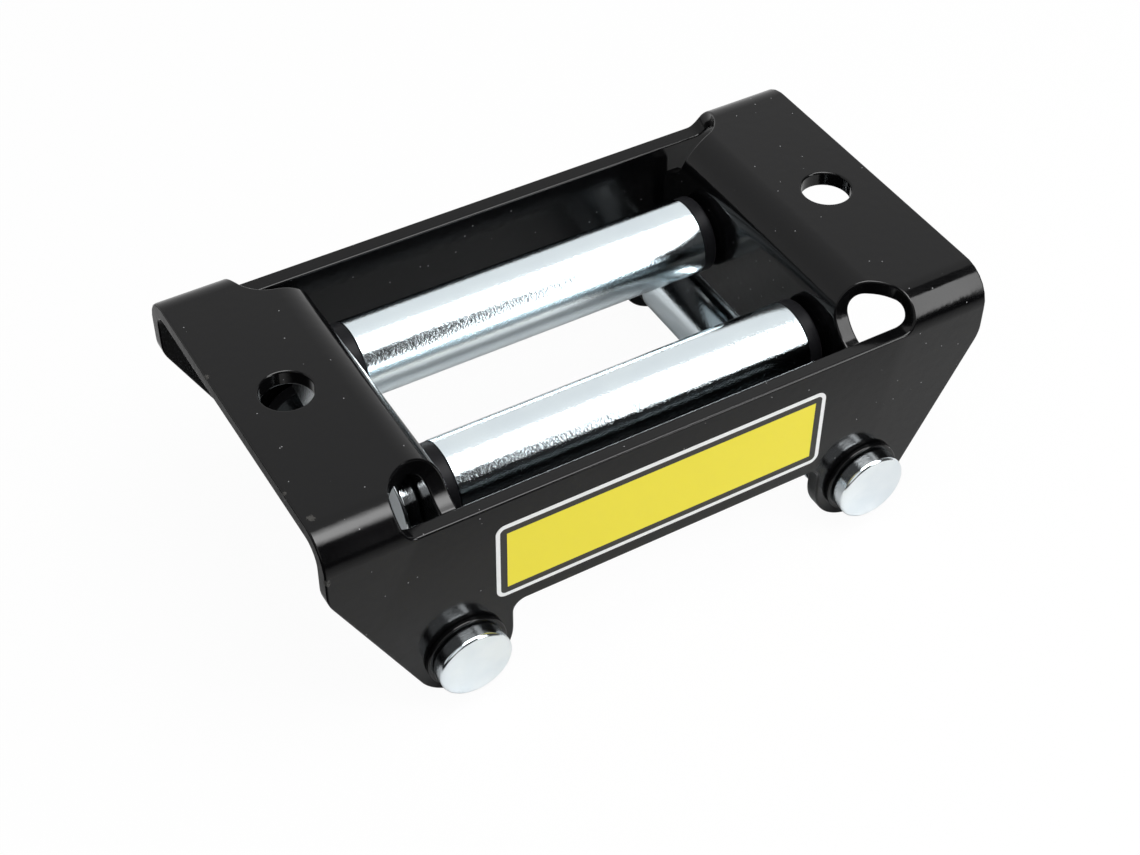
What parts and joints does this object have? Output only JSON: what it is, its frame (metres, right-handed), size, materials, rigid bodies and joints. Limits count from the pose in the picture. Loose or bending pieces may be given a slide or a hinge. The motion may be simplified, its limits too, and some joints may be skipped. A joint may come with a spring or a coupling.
{
  "type": "roller fairlead",
  "caption": "Four-way roller fairlead: a bent steel frame guides a winch rope between two long and two short plated rollers that turn on headed pins.",
  "frame": {"origin": "on the outward side of the mounting face, halfway between the two mounting holes", "axes": "+X along the frame through the mounting holes, towards the end where the long pins' clips are; +Y across the frame, towards the wall where the short pins' clips are; +Z out of the mounting face, away from the rollers"},
  "size_m": [0.1474, 0.0902, 0.0533],
  "materials": {
    "black_coat": "gloss black powder coat",
    "zinc_plate": "bright zinc plate, slightly frosty",
    "bushing_plastic": "satin moulded black",
    "pin_plate": "bright zinc plate, faintly mottled",
    "spring_steel": "plain zinc plate"
  },
  "bodies": {
    "frame_body": {"frame": "black_coat"},
    "front_pin_and_clip": {"front_pin": "pin_plate", "front_pin_clip": "spring_steel"},
    "front_roller": {"front_roller_tube": "zinc_plate", "front_bushing_left": "bushing_plastic", "front_bushing_right": "bushing_plastic"},
    "rear_pin_and_clip": {"rear_pin": "pin_plate", "rear_pin_clip": "spring_steel"},
    "rear_roller": {"rear_roller_tube": "zinc_plate", "rear_bushing_left": "bushing_plastic", "rear_bushing_right": "bushing_plastic"},
    "left_pin_and_clip": {"left_pin": "pin_plate", "left_pin_washer": "pin_plate", "left_pin_clip": "spring_steel"},
    "left_roller": {"left_roller_tube": "zinc_plate", "left_bushing_front": "bushing_plastic", "left_bushing_rear": "bushing_plastic"},
    "right_pin_and_clip": {"right_pin": "pin_plate", "right_pin_washer": "pin_plate", "right_pin_clip": "spring_steel"},
    "right_roller": {"right_roller_tube": "zinc_plate", "right_bushing_front": "bushing_plastic", "right_bushing_rear": "bushing_plastic"}
  },
  "joints": [
    {"name": "front_pin_turn", "type": "hinge", "parent": "frame_body", "child": "front_pin_and_clip", "pos_m": [0, -0.0196, -0.0182], "axis": [1, 0, 0], "continuous": true},
    {"name": "front_roller_spin", "type": "hinge", "parent": "front_pin_and_clip", "child": "front_roller", "pos_m": [0, -0.0196, -0.0182], "axis": [1, 0, 0], "continuous": true},
    {"name": "rear_pin_turn", "type": "hinge", "parent": "frame_body", "child": "rear_pin_and_clip", "pos_m": [0, 0.0196, -0.0182], "axis": [1, 0, 0], "continuous": true},
    {"name": "rear_roller_spin", "type": "hinge", "parent": "rear_pin_and_clip", "child": "rear_roller", "pos_m": [0, 0.0196, -0.0182], "axis": [1, 0, 0], "continuous": true},
    {"name": "left_pin_turn", "type": "hinge", "parent": "frame_body", "child": "left_pin_and_clip", "pos_m": [-0.0468, 0, -0.0425], "axis": [0, 1, 0], "continuous": true},
    {"name": "left_roller_spin", "type": "hinge", "parent": "left_pin_and_clip", "child": "left_roller", "pos_m": [-0.0468, 0, -0.0425], "axis": [0, 1, 0], "continuous": true},
    {"name": "right_pin_turn", "type": "hinge", "parent": "frame_body", "child": "right_pin_and_clip", "pos_m": [0.0468, 0, -0.0425], "axis": [0, 1, 0], "continuous": true},
    {"name": "right_roller_spin", "type": "hinge", "parent": "right_pin_and_clip", "child": "right_roller", "pos_m": [0.0468, 0, -0.0425], "axis": [0, 1, 0], "continuous": true}
  ]
}
